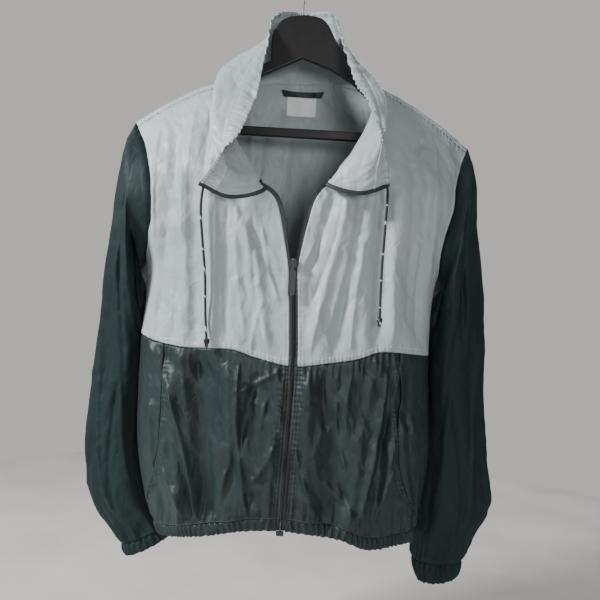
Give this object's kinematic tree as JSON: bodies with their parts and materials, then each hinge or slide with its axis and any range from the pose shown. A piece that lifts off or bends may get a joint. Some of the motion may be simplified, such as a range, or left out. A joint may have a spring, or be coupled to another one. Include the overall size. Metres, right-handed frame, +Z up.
{
  "type": "windbreaker jacket on a hanger",
  "caption": "Two-tone nylon windbreaker hanging open-necked on a plain hanger, with stand collar, front zip, drawcords, slanted pockets and elastic hem and cuffs.",
  "frame": {"origin": "point inside the top of the hanger's hook where it is held", "axes": "+Z up, -Y to the front of the jacket, +X to the right of the front view"},
  "size_m": [0.6008, 0.2034, 0.9058],
  "materials": {
    "pale_nylon": "satin",
    "dark_nylon": "satin",
    "zip_tape": "matte",
    "zip_plastic": "satin",
    "hanger_plastic": "satin",
    "steel": "satin",
    "cord": "matte",
    "label": "matte"
  },
  "bodies": {
    "jacket": {"front_upper_left": "pale_nylon", "front_lower_left": "dark_nylon", "front_side_left": "dark_nylon", "pocket_bag_left": "dark_nylon", "sleeve_left": "dark_nylon", "cuff_left": "dark_nylon", "drawcord_left": "cord", "cord_knot_left": "cord", "front_upper_right": "pale_nylon", "front_lower_right": "dark_nylon", "front_side_right": "dark_nylon", "pocket_bag_right": "dark_nylon", "sleeve_right": "dark_nylon", "cuff_right": "dark_nylon", "drawcord_right": "cord", "cord_knot_right": "cord", "back_upper": "pale_nylon", "back_lower": "dark_nylon", "hem_band": "dark_nylon", "collar": "pale_nylon", "zip_tape_left": "zip_tape", "zip_edge_left": "zip_tape", "zip_tape_right": "zip_tape", "zip_edge_right": "zip_tape", "zip_chain": "zip_plastic", "slider": "zip_plastic", "slider_bridge": "steel", "zip_box": "zip_plastic", "hanger": "hanger_plastic", "hanger_hook": "steel", "neck_label": "label", "hanging_loop": "dark_nylon"},
    "pull_tab": {"pull_tab": "zip_plastic"}
  },
  "joints": [
    {"name": "pull_tab_hinge", "type": "hinge", "parent": "jacket", "child": "pull_tab", "pos_m": [0.0075, -0.1009, -0.443], "axis": [-1, 0, 0], "range_deg": [0, 150]}
  ]
}
